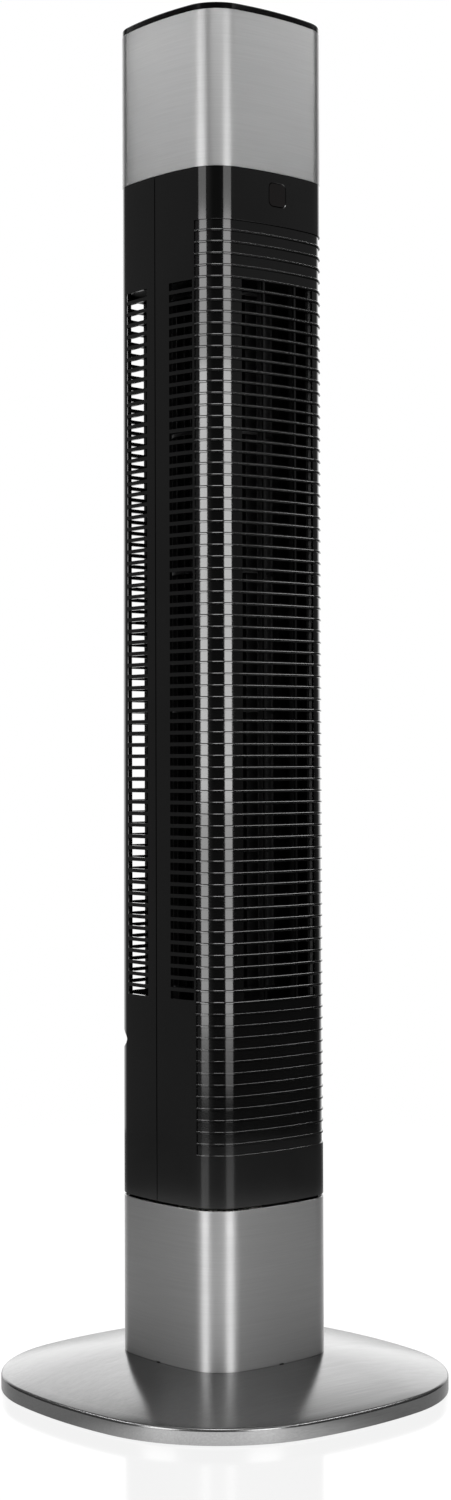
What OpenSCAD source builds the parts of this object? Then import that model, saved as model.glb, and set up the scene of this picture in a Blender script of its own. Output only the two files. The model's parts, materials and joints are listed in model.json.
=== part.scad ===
// Square-column tower fan on a domed steel base.
// Origin: centre of the underside, on the floor. +Z is up and the air outlet faces -Y.

/* [Column] */
// Total height from the floor to the rim of the top cap
total_h = 1000; // [990:1:1040]
// Half of the column's width, measured at the middle of a face
column_half_w = 62.6; // [61:0.2:65]
// Radius of the column's rounded corners
column_corner_r = 29; // [26:0.5:32]
// Radius of the slight outward crown of each face
column_face_r = 237; // [220:1:260]
// Wall thickness of the moulded shells
shell_wall = 2.6; // [2.2:0.1:2.8]
// Sheet thickness of the steel sleeves
sheet_t = 1.2; // [0.8:0.1:1.4]

/* [Base] */
// Half of the base plate's width, measured at the middle of a side
base_half_w = 152.3; // [148:0.5:156]
// Radius of the base plate's corners
base_corner_r = 116; // [110:1:120]
// Radius of the base plate's crowned sides
base_side_r = 350; // [330:1:380]
// Height of the base plate's outer rim
rim_h = 12.2; // [11.5:0.1:14]
// Height of the base plate where the collar stands on it
base_top_z = 27.2; // [26:0.1:29]

/* [Heights] */
// Top edge of the fixed steel collar
collar_top_z = 140.5; // [139.5:0.1:141]
// Gap between the fixed collar and the turning body
swivel_gap = 2; // [1.8:0.1:2.5]
// Bottom edge of the steel head sleeve
head_z = 882.6; // [882:0.1:884]
// Thickness of the top cap's visible rim
cap_h = 4.6; // [4.4:0.1:5]

/* [Grille] */
// Number of slot rows
grille_rows = 62; // [60:1:62]
// Distance from one row to the next
row_pitch = 8.33; // [8.2:0.01:8.4]
// Height of the proud ribs between the grooves
rib_h = 1.6; // [1.4:0.1:2]
// Depth of the grooves between the ribs
groove_depth = 1; // [0.6:0.1:1.2]
// Bottom of the lowest slot row
grille_z = 288.1; // [287:0.1:289]
// Closed grooves below the slot rows
grooves_below = 13; // [10:1:13]
// Closed grooves above the slot rows
grooves_above = 5; // [3:1:5]

/* [Fan] */
// Outer radius of the cross-flow impeller
impeller_r = 38; // [34:0.5:38]
// Number of blades in each stage
blades = 24; // [18:2:26]
// Number of stacked stages
stages = 5; // [5:1:5]

/* [Controls] */
// Diameter of each push button
button_d = 11.4; // [10:0.1:11.6]
// Distance between the buttons' centres
button_pitch = 19; // [18:0.5:21]

/* [Hidden] */
$fn = 96;
eps = 0.01;
fit_gap = 0.2;
running_gap = 0.05;
body_z = collar_top_z + swivel_gap;
cap_z = total_h - cap_h;
seam_y = 1;
inner_inset = shell_wall + fit_gap;

// Grille layout
groove_h = row_pitch - rib_h;
front_slot_h = 5.9;
side_slot_h = 5.6;
groove_limit_y = -39;
outlet_x = 2.8;
front_slot_half = 35;
front_bar_x = 15.2;
front_bar_w = 1.8;
side_slot_front = [-37.2, -14.4];
side_slot_rear = [10.9, 36.5];
rear_slots = [[-41, -24.3], [-22.5, -1], [1, 22.5], [24.3, 41]];

// Remote-control window in the smooth band over the ribs
ir_z = 866.8;
ir_w = 15.6;
ir_h = 16.4;
ir_r = 3.5;

// Base stack
foot_h = 2;
foot_r = 11;
foot_pos = 98;
pan_z = 1;
pan_t = 2;
rim_z = 1;
weight_z = 3.1;
cover_t = 1.4;
dome_steps = 6;
under_steps = 3;
rim_bevel = 0.8;
dome_flat_inset = 88;
dome_bend = 4.6;
gland_z = 6;
gland_r = 3.6;
gland_bore_r = 2.6;
gland_l = 6.9;
bolt_pos = 36;
pan_screw_pos = 70;
weight_hole_r = 21;
weight_bolt_hole_r = 3.2;
// Steps of the cast weight: [inset of the outline, top]
weight_steps = [[5, 9.6], [44, 16.6], [dome_flat_inset + 2, base_top_z - cover_t - 0.2]];
weight_bolt_seat_z = weight_z + 7;

// Swivel
bore_r = 15.05;
neck_r = bore_r - running_gap;
wire_hole_r = 9;
pedestal_top_z = collar_top_z - 4.5;
washer_h = 4;
plate_z = body_z + 0.6;
plate_t = 5;
deck_z = plate_z + plate_t;
flange_z = pedestal_top_z + washer_h + 0.05;
neck_z = 108;
clip_z = 112;
clip_t = 2;
clip_groove_r = 13.5;
neck_screw_circle = 21;
fixed_gear_bore_r = 20;

// Electrics on the lower deck
board_post_h = 12;
board_post_r = 3.2;
power_board_t = 1.6;
power_board_size = [78, 48];
power_board_y = -25;
board_hole = [34, 19];
capacitor_xy = [-33, 18.5];

// Oscillation gears
gear_module = 1.5;
ring_teeth = 36;
pinion_teeth = 12;
gear_z = pedestal_top_z - 11;
gear_h = 8;
gear_centres = gear_module*(ring_teeth + pinion_teeth)/2;
osc_shaft_r = 2.5;

// Fan motor and impeller
motor_r = 40;
motor_z = 203;
motor_h = 58;
motor_shaft_r = 4;
rotor_r = 22;
motor_bolt_circle = 34;
motor_bolt_hole_r = 2.1;
bell_h = 20;
bridge_z = 272;
bridge_t = 4;
impeller_z = 292;
stage_h = 101;
disc_t = 2.5;
impeller_top_z = impeller_z + stages*stage_h;
upper_bridge_z = 806;
journal_r = 3;
blade_arc_r = 10;
blade_t = 1;
blade_mid_r = impeller_r - 4.9;

// Air guide walls
duct_z = bridge_z + bridge_t;
duct_h = upper_bridge_z - duct_z;
duct_wall = 1.6;
scroll_start_a = 100;
scroll_end_a = -57.5;
scroll_start_r = impeller_r + 3;
scroll_end_r = 64.5;
scroll_steps = 30;
lip_end = [39.6, -55.5];
lip_t = 2;

// Wiring loom
loom_xy = [36, 50];
loom_r = 2.5;
loom_z = deck_z + 30;

// Head
dish_depth = 1.2;
dish_inset = 9;
shelf_z = 972;
shelf_t = 3;
frame_wall = 2;
board_pos = 36;
board_z = 981.8;
board_t = 1.6;
button_y = -12;
button_top_z = total_h - 0.4;
button_count = 4;
lens_w = 34;
lens_d = 13;
lens_y = 14;

// Screw places on the shells: [x, z, radius of the well in the rear shell]
shell_screw_places = [
    for (side = [-1, 1])
        for (place = [[50, 156, 4.6], [52, 255, 7], [50, 822, 4.6], [50, 860, 4.6]])
            [side*place.x, place.y, place.z]];

// ---------- outlines ----------

function crown_q(a, r, R) = (-(R - a) + sqrt(2*pow(R - r, 2) - pow(R - a, 2)))/2;

// Square with crowned sides and tangent round corners, all true arcs
module crowned_square(a, r, R) {
    q = crown_q(a, r, R);
    turn = atan2(q, q + R - a);
    apothem = (2*q + r*(cos(turn) + sin(turn)))/sqrt(2);
    intersection() {
        intersection_for (side = [0 : 3])
            rotate(90*side)
                translate([a - R, 0])
                    circle(r = R, $fn = 360);
        rotate(45)
            square(2*apothem, center = true);
    }
    for (side = [0 : 3])
        rotate(90*side)
            translate([q, q])
                circle(r = r);
}

// Column outline moved inwards by an even inset
module column_outline(inset = 0) {
    crowned_square(column_half_w - inset, column_corner_r - inset, column_face_r - inset);
}

module base_outline(inset = 0) {
    crowned_square(base_half_w - inset, base_corner_r - inset, base_side_r - inset);
}

module column_ring(outer, inner) {
    difference() {
        column_outline(outer);
        column_outline(inner);
    }
}

// The base outline as points, for the domed cover
function arc_points(c, r, a0, a1, n) =
    [for (i = [0 : n - 1]) c + r*[cos(a0 + (a1 - a0)*i/n), sin(a0 + (a1 - a0)*i/n)]];
function turned(points, a) =
    [for (p = points) [p.x*cos(a) - p.y*sin(a), p.x*sin(a) + p.y*cos(a)]];
function base_points(inset) =
    let (
        a = base_half_w - inset,
        r = base_corner_r - inset,
        R = base_side_r - inset,
        q = crown_q(a, r, R),
        turn = atan2(q, q + R - a),
        side = concat(
            arc_points([a - R, 0], R, -turn, turn, 6),
            arc_points([q, q], r, turn, 90 - turn, 10)))
    [for (k = [0 : 3]) each turned(side, 90*k)];

// Height of the dome at an inset from the rim: a shallow circular arc
function dome_z(inset) =
    let (
        run = dome_flat_inset - rim_bevel,
        rise = base_top_z - rim_h,
        arc_r = norm([run, rise])/(2*sin(dome_bend)),
        lean = atan2(rise, run))
    rim_h + sqrt(pow(arc_r, 2) - pow(arc_r*sin(lean + dome_bend) - (inset - rim_bevel), 2))
        - arc_r*cos(lean + dome_bend);

// Closed skin that joins the rings in turn, each given as [inset, z], with a flat land at ring land_ring
module cover_skin(rings, land_ring) {
    outline_n = len(base_points(0));
    ring_n = len(rings);
    points = [for (ring = rings) each [for (p = base_points(ring[0])) [p.x, p.y, ring[1]]]];
    bands = [
        for (k = [0 : ring_n - 1])
            if (k != land_ring)
                let (lower = k*outline_n, upper = ((k + 1)%ring_n)*outline_n)
                for (j = [0 : outline_n - 1])
                    let (next = (j + 1)%outline_n)
                    [lower + j, upper + j, upper + next, lower + next]];
    land_top = [for (j = [outline_n - 1 : -1 : 0]) land_ring*outline_n + j];
    land_under = [for (j = [0 : outline_n - 1]) (land_ring + 1)*outline_n + j];
    polyhedron(points = points, faces = concat(bands, [land_top, land_under]));
}

module rounded_rect(w, h, r) {
    square([w - 2*r, h], center = true);
    square([w, h - 2*r], center = true);
    for (x = [-1, 1])
        for (y = [-1, 1])
            translate([x*(w/2 - r), y*(h/2 - r)])
                circle(r = r);
}

module ring(z, h, outer, inner) {
    translate([0, 0, z])
        difference() {
            cylinder(h = h, r = outer);
            translate([0, 0, -1])
                cylinder(h = h + 2, r = inner);
        }
}

// Four places on the diagonals, at radius r
module diagonal_places(r) {
    for (a = [45 : 90 : 315])
        rotate(a)
            translate([r, 0, 0])
                children();
}

module on_square(half) {
    for (x = [-half, half])
        for (y = [-half, half])
            translate([x, y, 0])
                children();
}

// Pan-head screw, head up, tip down; its seat is at z = 0
module screw(shank_r, shank_l, head_r, head_h) {
    translate([0, 0, -shank_l])
        cylinder(h = shank_l, r = shank_r);
    difference() {
        cylinder(h = head_h, r = head_r);
        for (a = [0, 90])
            rotate(a)
                translate([-head_r*0.6, -0.4, head_h*0.5])
                    cube([head_r*1.2, 0.8, head_h]);
    }
}

// ---------- base ----------

// Ring i of steps on the dome, or on its underside
function cover_step(i, steps, thickness) =
    let (inset = rim_bevel + (dome_flat_inset - rim_bevel)*i/steps)
    [max(inset, thickness), dome_z(inset) - thickness];

module base_cover() {
    color("silver")
        difference() {
            cover_skin(
                concat(
                    [[0, rim_z], [0, rim_h - rim_bevel]],
                    [for (i = [0 : dome_steps]) cover_step(i, dome_steps, 0)],
                    [for (i = [under_steps : -1 : 0]) cover_step(i, under_steps, cover_t)],
                    [[cover_t, rim_z]]),
                dome_steps + 2);
            translate([0, 0, base_top_z - 6])
                cylinder(h = 10, r = weight_hole_r);
            on_square(bolt_pos)
                translate([0, 0, base_top_z - 6])
                    cylinder(h = 10, r = weight_bolt_hole_r);
            translate([0, base_half_w - 8, gland_z])
                rotate([-90, 0, 0])
                    cylinder(h = 12, r = gland_r + 0.1);
        }
}

module base_weight() {
    color("dimgray")
        difference() {
            for (i = [0 : len(weight_steps) - 1]) {
                bottom = i == 0 ? weight_z : weight_steps[i - 1][1];
                translate([0, 0, bottom])
                    linear_extrude(weight_steps[i][1] - bottom)
                        base_outline(weight_steps[i][0]);
            }
            translate([0, 0, -1])
                cylinder(h = 40, r = weight_hole_r);
            on_square(bolt_pos)
                cylinder(h = 40, r = weight_bolt_hole_r);
            on_square(bolt_pos)
                cylinder(h = weight_bolt_seat_z, r = 7);
            on_square(pan_screw_pos)
                cylinder(h = 40, r = 1.5);
            translate([-6, 0, 0])
                cube([12, base_half_w, weight_z + 8]);
        }
}

module base_pan() {
    color("black")
        difference() {
            translate([0, 0, pan_z])
                linear_extrude(pan_t)
                    base_outline(1.8);
            translate([0, 0, -1])
                cylinder(h = 10, r = 18);
            on_square(pan_screw_pos)
                cylinder(h = 10, r = 2);
            on_square(pan_screw_pos)
                cylinder(h = pan_z + 0.8, r = 3.9);
            on_square(foot_pos)
                cylinder(h = foot_h + 0.1, r = foot_r + 0.1);
            translate([-5, base_half_w - 12, 0])
                cube([10, 14, 10]);
        }
}

module base_feet() {
    color("black")
        on_square(foot_pos)
            difference() {
                cylinder(h = foot_h, r = foot_r);
                translate([0, 0, -1])
                    cylinder(h = 1.5, r = foot_r*0.45);
            }
}

module pan_screws() {
    color("gray")
        on_square(pan_screw_pos)
            translate([0, 0, pan_z + 0.8])
                rotate([180, 0, 0])
                    screw(1.4, 10, 3.4, 0.7);
}

module base_bolts() {
    color("gray")
        on_square(bolt_pos)
            translate([0, 0, weight_bolt_seat_z])
                rotate([180, 0, 0])
                    screw(2.9, 27, 6, 3.5);
}

// Rubber gland for the mains lead in the rear of the rim
module cord_grommet() {
    color("black")
        translate([0, base_half_w - 7, gland_z])
            rotate([-90, 0, 0])
                difference() {
                    cylinder(h = gland_l, r = gland_r);
                    translate([0, 0, -1])
                        cylinder(h = gland_l + 2, r = gland_bore_r);
                }
}

module pedestal() {
    color("dimgray")
        difference() {
            union() {
                translate([0, 0, base_top_z])
                    linear_extrude(5)
                        column_outline(sheet_t + fit_gap);
                translate([0, 0, base_top_z])
                    cylinder(h = gear_z - base_top_z, r = 25);
                cylinder_stub(gear_z, pedestal_top_z, fixed_gear_bore_r);
                for (a = [0 : 90 : 270])
                    rotate(a)
                        translate([23, -2, base_top_z])
                            cube([28, 4, 40]);
            }
            translate([0, 0, base_top_z - 1])
                cylinder(h = 90, r = 19);
            translate([0, 0, base_top_z - 1])
                cylinder(h = 200, r = bore_r);
            on_square(bolt_pos)
                translate([0, 0, base_top_z - 1])
                    cylinder(h = 10, r = 2.95);
        }
}

module cylinder_stub(z0, z1, r) {
    translate([0, 0, z0])
        cylinder(h = z1 - z0, r = r);
}

// Straight-flanked gear outline with generous backlash
function gear_points(n, m, shift) =
    let (
        pitch_r = n*m/2,
        half = 90/n,
        root_r = pitch_r - 1.25*m,
        tip_r = pitch_r + 0.75*m,
        corners = [[-1.25, root_r], [-0.45, tip_r], [0.45, tip_r], [1.25, root_r]])
    [for (i = [0 : n - 1])
        for (c = corners)
            let (a = 360*i/n + shift + c[0]*half)
                c[1]*[cos(a), sin(a)]];

module fixed_gear() {
    color("ivory")
        translate([0, 0, gear_z])
            difference() {
                linear_extrude(gear_h)
                    polygon(gear_points(ring_teeth, gear_module, 0));
                translate([0, 0, -1])
                    cylinder(h = gear_h + 2, r = fixed_gear_bore_r);
            }
}

module thrust_washer() {
    color("white")
        ring(pedestal_top_z, washer_h, 24, bore_r + 0.4);
}

module collar() {
    color("silver")
        translate([0, 0, base_top_z])
            linear_extrude(collar_top_z - base_top_z)
                column_ring(0, sheet_t);
}

module collar_liner() {
    color("black")
        translate([0, 0, collar_top_z - 9])
            linear_extrude(8)
                column_ring(sheet_t + 0.1, sheet_t + 2.6);
}

// ---------- swivel and lower deck ----------

module swivel_neck() {
    color("whitesmoke")
        difference() {
            union() {
                translate([0, 0, neck_z])
                    cylinder(h = flange_z - neck_z, r = neck_r);
                translate([0, 0, flange_z])
                    cylinder(h = plate_z - flange_z, r = 27);
                translate([0, 0, plate_z])
                    cylinder(h = plate_t, r = 15);
            }
            translate([0, 0, neck_z - 1])
                cylinder(h = 60, r = wire_hole_r);
            ring(clip_z - 0.1, clip_t + 0.2, neck_r + 1, clip_groove_r);
            diagonal_places(neck_screw_circle)
                translate([0, 0, flange_z - 1])
                    cylinder(h = 10, r = 1.45);
        }
}

module neck_clip() {
    color("gray")
        difference() {
            ring(clip_z, clip_t, 17.5, clip_groove_r + 0.1);
            translate([12, -2, clip_z - 1])
                cube([8, 4, clip_t + 2]);
        }
}

module neck_screws() {
    color("gray")
        diagonal_places(neck_screw_circle)
            translate([0, 0, deck_z])
                screw(1.4, plate_t + 2, 2.8, 1.2);
}

module lower_plate() {
    color("black")
        difference() {
            union() {
                translate([0, 0, plate_z])
                    linear_extrude(plate_t)
                        column_outline(inner_inset);
                board_corners()
                    translate([0, 0, deck_z])
                        cylinder(h = board_post_h, r = board_post_r);
            }
            translate([0, 0, plate_z - 1])
                cylinder(h = plate_t + 2, r = 15.1);
            diagonal_places(neck_screw_circle)
                translate([0, 0, plate_z - 1])
                    cylinder(h = plate_t + 2, r = 1.6);
            translate([0, gear_centres, plate_z - 1])
                cylinder(h = plate_t + 2, r = 4);
        }
}

module osc_motor() {
    color("silver")
        translate([0, gear_centres, deck_z])
            difference() {
                union() {
                    cylinder(h = 16, r = 20.5);
                    translate([0, 0, -plate_t])
                        cylinder(h = plate_t, r = 3.8);
                    for (x = [-1, 1])
                        translate([x*25, 0, 0])
                            linear_extrude(1.2)
                                rounded_rect(12, 8, 3);
                }
                translate([0, 0, -plate_t - 1])
                    cylinder(h = 16, r = osc_shaft_r + running_gap);
                for (x = [-1, 1])
                    translate([x*27, 0, -1])
                        cylinder(h = 4, r = 1.6);
            }
}

module osc_pinion() {
    color("ivory")
        translate([0, gear_centres, gear_z - 1]) {
            linear_extrude(gear_h + 2)
                polygon(gear_points(pinion_teeth, gear_module, 180/pinion_teeth));
            cylinder(h = deck_z + 8 - gear_z, r = osc_shaft_r);
        }
}

module board_corners() {
    for (x = [-1, 1])
        for (y = [-1, 1])
            translate([x*board_hole.x, power_board_y + y*board_hole.y, 0])
                children();
}

module power_board() {
    color("darkgreen")
        translate([0, 0, deck_z + board_post_h])
            difference() {
                translate([0, power_board_y, 0])
                    linear_extrude(power_board_t)
                        square(power_board_size, center = true);
                board_corners()
                    translate([0, 0, -1])
                        cylinder(h = power_board_t + 2, r = 1.6);
            }
}

module board_parts() {
    color("dimgray")
        translate([0, power_board_y, deck_z + board_post_h + power_board_t]) {
            translate([-28, -16, 0])
                cube([22, 18, 15]);
            translate([0, -18, 0])
                cube([19, 15.5, 12]);
            for (x = [-24, -14, -4, 6])
                translate([x, 12, 0])
                    cube([8, 8, 10]);
            translate([27, 2, 0])
                cylinder(h = 16, r = 5);
            translate([14, 4, 0])
                cylinder(h = 12, r = 4);
        }
}

module motor_capacitor() {
    color("ghostwhite")
        translate([capacitor_xy.x, capacitor_xy.y, deck_z])
            linear_extrude(32)
                rounded_rect(18, 24, 3);
}

module wiring_loom() {
    color("black")
        translate([loom_xy.x, loom_xy.y, loom_z]) {
            cylinder(h = shelf_z + 8 - loom_z, r = loom_r);
            translate([-4, -3, -8])
                cube([8, 6, 8]);
        }
}

// ---------- shells ----------

module shell_half(front) {
    linear_extrude(head_z - body_z)
        difference() {
            column_ring(0, shell_wall);
            translate([-100, front ? seam_y : seam_y - 200])
                square(200);
        }
}

// Web that joins a screw boss to the side wall
module boss_web(p, y0, y1) {
    translate([p.x > 0 ? p.x : p.x - 12, y0, p.y - 1.5])
        cube([12, y1 - y0, 3]);
}

module screw_boss(p, y0, y1, r) {
    translate([p.x, y0, p.y])
        rotate([-90, 0, 0])
            cylinder(h = y1 - y0, r = r);
}

// One groove between two ribs, round the front of the column
module groove_band() {
    linear_extrude(groove_h)
        intersection() {
            column_ring(-2, groove_depth);
            translate([-100, groove_limit_y - 100])
                square([200, 100]);
        }
}

// One row of openings: three in the front, between two upright bars, and one in each side
module front_slot_row() {
    z = (groove_h - front_slot_h)/2;
    difference() {
        translate([outlet_x - front_slot_half, -70, z])
            cube([2*front_slot_half, 20, front_slot_h]);
        for (side = [-1, 1])
            translate([outlet_x + side*front_bar_x - front_bar_w/2, -71, z - 1])
                cube([front_bar_w, 22, front_slot_h + 2]);
    }
    for (x = [-1, 1])
        translate([x*62 - 7, side_slot_front[0], (groove_h - side_slot_h)/2])
            cube([14, side_slot_front[1] - side_slot_front[0], side_slot_h]);
}

module front_shell() {
    color("#141414")
        difference() {
            difference() {
                union() {
                    translate([0, 0, body_z])
                        shell_half(true);
                    intersection() {
                        for (p = shell_screw_places) {
                            screw_boss(p, -16, seam_y, 5);
                            boss_web(p, -16, seam_y);
                        }
                        translate([0, 0, body_z])
                            linear_extrude(head_z - body_z)
                                column_outline(1.5);
                    }
                }
                for (i = [-grooves_below : grille_rows + grooves_above - 1])
                    translate([0, 0, grille_z + i*row_pitch])
                        groove_band();
            }
            for (i = [0 : grille_rows - 1])
                translate([0, 0, grille_z + i*row_pitch])
                    front_slot_row();
            translate([0, -70, ir_z])
                rotate([-90, 0, 0])
                    linear_extrude(20)
                        rounded_rect(ir_w, ir_h, ir_r);
            for (p = shell_screw_places)
                screw_boss(p, -14, seam_y + 1, 1.45);
        }
}

module rear_slot_row() {
    z = (groove_h - side_slot_h)/2;
    for (x = [-1, 1])
        translate([x*62 - 7, side_slot_rear[0], z])
            cube([14, side_slot_rear[1] - side_slot_rear[0], side_slot_h]);
    for (span = rear_slots)
        translate([span[0], 50, z])
            cube([span[1] - span[0], 20, side_slot_h]);
}

module rear_shell() {
    color("#141414")
        difference() {
            union() {
                translate([0, 0, body_z])
                    shell_half(false);
                intersection() {
                    for (p = shell_screw_places)
                        screw_boss(p, seam_y + 0.05, 60, p.z + 1.6);
                    translate([0, 0, body_z])
                        linear_extrude(head_z - body_z)
                            column_outline(1.5);
                }
            }
            for (i = [0 : grille_rows - 1])
                translate([0, 0, grille_z + i*row_pitch])
                    rear_slot_row();
            for (p = shell_screw_places) {
                screw_boss(p, seam_y - 1, 20, 1.9);
                screw_boss(p, seam_y + 4, 80, p.z);
            }
        }
}

module shell_screws() {
    color("gray")
        for (p = shell_screw_places)
            translate([p.x, seam_y + 4, p.y])
                rotate([-90, 0, 0])
                    screw(1.4, 14, 3.4, 2.2);
}

module ir_window() {
    color("#200808")
        intersection() {
            translate([0, -70, ir_z])
                rotate([-90, 0, 0])
                    linear_extrude(20)
                        rounded_rect(ir_w - 0.2, ir_h - 0.2, ir_r);
            translate([0, 0, ir_z - 20])
                linear_extrude(40)
                    column_ring(0.15, shell_wall);
        }
}

module ir_receiver() {
    color("black")
        translate([0, -column_half_w + inner_inset + frame_wall + 0.2, ir_z]) {
            translate([-3, 0, -4])
                cube([6, 5, 8]);
            translate([-12, 5, -12])
                cube([24, 1.6, 24]);
        }
}

// ---------- air guides ----------

function scroll_r(a) =
    scroll_start_r + (scroll_end_r - scroll_start_r)*(scroll_start_a - a)/(scroll_start_a - scroll_end_a);
function scroll_points(extra) =
    [for (i = [0 : scroll_steps])
        let (a = scroll_start_a + (scroll_end_a - scroll_start_a)*i/scroll_steps)
            (scroll_r(a) + extra)*[cos(a), sin(a)]];
function flipped(points) = [for (i = [len(points) - 1 : -1 : 0]) points[i]];

// Lip that closes the gap between the end of the scroll and the shell beside the outlet
module scroll_lip() {
    root = scroll_end_r*[cos(scroll_end_a), sin(scroll_end_a)] + [0.6, 0.3];
    polygon([root, lip_end, lip_end - [0, lip_t], root - [0, lip_t]]);
}

module scroll_wall() {
    color("#202020")
        translate([0, 0, duct_z])
            linear_extrude(duct_h)
                intersection() {
                    union() {
                        polygon(concat(scroll_points(0), flipped(scroll_points(duct_wall))));
                        scroll_lip();
                        translate([-8.7, scroll_start_r - 1])
                            square([duct_wall, 30]);
                    }
                    column_outline(inner_inset);
                }
}

module air_tongue() {
    color("#202020")
        translate([0, 0, duct_z])
            linear_extrude(duct_h)
                intersection() {
                    union() {
                        translate([-38, -70])
                            square([duct_wall, 44]);
                        translate([-36.6, -26])
                            circle(r = 2.4);
                    }
                    column_outline(inner_inset);
                }
}

// Two upright stiffeners behind the bars of the outlet, joined by end rails
module outlet_frame() {
    bar_depth = 4;
    rail_half = 28;
    rail_h = 2;
    end_gap = 0.2;
    frame_h = duct_h - 2*end_gap;
    color("#181818")
        translate([outlet_x, -column_half_w + shell_wall + 0.9, duct_z + end_gap]) {
            for (side = [-1, 1])
                translate([side*front_bar_x - front_bar_w/2, 0, 0])
                    cube([front_bar_w, bar_depth, frame_h]);
            for (z = [0, frame_h - rail_h])
                translate([-rail_half, bar_depth/2, z])
                    cube([2*rail_half, bar_depth/2, rail_h]);
        }
}

module bridge_outline() {
    difference() {
        column_outline(inner_inset);
        translate(loom_xy)
            circle(r = loom_r + 1);
    }
}

module motor_bridge() {
    color("#202020")
        difference() {
            translate([0, 0, bridge_z])
                linear_extrude(bridge_t)
                    bridge_outline();
            translate([0, 0, bridge_z - 1])
                cylinder(h = bridge_t + 2, r = 15);
            diagonal_places(motor_bolt_circle)
                translate([0, 0, bridge_z - 1])
                    cylinder(h = bridge_t + 2, r = motor_bolt_hole_r);
        }
}

module upper_bridge() {
    color("#202020")
        difference() {
            union() {
                translate([0, 0, upper_bridge_z])
                    linear_extrude(3)
                        bridge_outline();
                translate([0, 0, upper_bridge_z])
                    cylinder(h = 11, r = 14);
            }
            translate([0, 0, upper_bridge_z - 1])
                cylinder(h = 9, r = 10);
            translate([0, 0, upper_bridge_z - 1])
                cylinder(h = 15, r = 5);
        }
}

module top_bearing() {
    color("goldenrod")
        ring(upper_bridge_z, 7.9, 10, journal_r + running_gap);
}

// ---------- motor ----------

module motor_bell(z, h, flip) {
    translate([0, 0, z + (flip ? h : 0)])
        mirror([0, 0, flip ? 1 : 0])
            difference() {
                cylinder(h = h, r = motor_r);
                translate([0, 0, 2])
                    cylinder(h = h, r = motor_r - 2);
                translate([0, 0, -1])
                    cylinder(h = 5, r = 8);
                diagonal_places(motor_bolt_circle)
                    translate([0, 0, -1])
                        cylinder(h = 5, r = motor_bolt_hole_r);
                for (a = [0 : 45 : 315])
                    rotate(a + 22.5)
                        translate([22, -3, -1])
                            cube([8, 6, 5]);
            }
}

module motor_lower_bell() {
    color("silver")
        motor_bell(motor_z, bell_h, false);
}

module motor_upper_bell() {
    color("silver")
        motor_bell(motor_z + motor_h - bell_h, bell_h, true);
}

module motor_stator() {
    color("slategray")
        difference() {
            ring(motor_z + bell_h, motor_h - 2*bell_h, motor_r - 0.4, rotor_r + 0.6);
            diagonal_places(motor_bolt_circle)
                translate([0, 0, motor_z])
                    cylinder(h = motor_h, r = motor_bolt_hole_r);
        }
}

module motor_windings() {
    color("peru") {
        ring(motor_z + 8, 11.9, 31, 24);
        ring(motor_z + motor_h - 19.9, 11.9, 31, 24);
    }
}

module motor_bushes() {
    color("goldenrod") {
        ring(motor_z, 7, 8, motor_shaft_r + running_gap);
        ring(motor_z + motor_h - 7, 7, 8, motor_shaft_r + running_gap);
    }
}

module motor_bolts() {
    color("gray")
        diagonal_places(motor_bolt_circle) {
            translate([0, 0, duct_z])
                screw(2, duct_z - motor_z + 4, 3.6, 2.4);
            translate([0, 0, motor_z - 2.6])
                cylinder(h = 2.6, r = 3.4);
            ring(motor_z + motor_h, bridge_z - motor_z - motor_h, 4.5, 1.99);
        }
}

module motor_rotor() {
    color("silver")
        ring(motor_z + 18, motor_h - 36, rotor_r, motor_shaft_r);
}

module motor_shaft() {
    color("lightgray")
        translate([0, 0, motor_z - 6])
            cylinder(h = impeller_z - 4 - motor_z + 6, r = motor_shaft_r);
}

module impeller_coupling() {
    color("#303030")
        difference() {
            union() {
                translate([0, 0, impeller_z - 14])
                    cylinder(h = 14, r = 11);
                translate([0, 0, impeller_z])
                    cylinder(h = disc_t, r = 8);
            }
            translate([0, 0, impeller_z - 15])
                cylinder(h = 11, r = motor_shaft_r);
        }
}

// ---------- impeller ----------

module blade_section() {
    translate([blade_mid_r, 0])
        rotate(24)
            intersection() {
                translate([0, -blade_arc_r + 0.9])
                    difference() {
                        circle(r = blade_arc_r + blade_t/2);
                        circle(r = blade_arc_r - blade_t/2);
                    }
                square([9, 6], center = true);
            }
}

module impeller_stage(i) {
    hub_hole = i == 0 ? 8 : 24;
    color("#383838")
        translate([0, 0, impeller_z + i*stage_h]) {
            difference() {
                cylinder(h = disc_t, r = impeller_r);
                translate([0, 0, -1])
                    cylinder(h = disc_t + 2, r = hub_hole);
            }
            translate([0, 0, disc_t - eps])
                linear_extrude(stage_h - disc_t + eps)
                    for (k = [0 : blades - 1])
                        rotate(360*k/blades)
                            blade_section();
        }
}

module impeller_stage_1() { impeller_stage(0); }
module impeller_stage_2() { impeller_stage(1); }
module impeller_stage_3() { impeller_stage(2); }
module impeller_stage_4() { impeller_stage(3); }
module impeller_stage_5() { impeller_stage(4); }

module impeller_top_disc() {
    color("#383838")
        translate([0, 0, impeller_top_z]) {
            cylinder(h = disc_t, r = impeller_r);
            cylinder(h = 5, r = 7);
            cylinder(h = upper_bridge_z + 9 - impeller_top_z, r = journal_r);
        }
}

// ---------- head ----------

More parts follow.
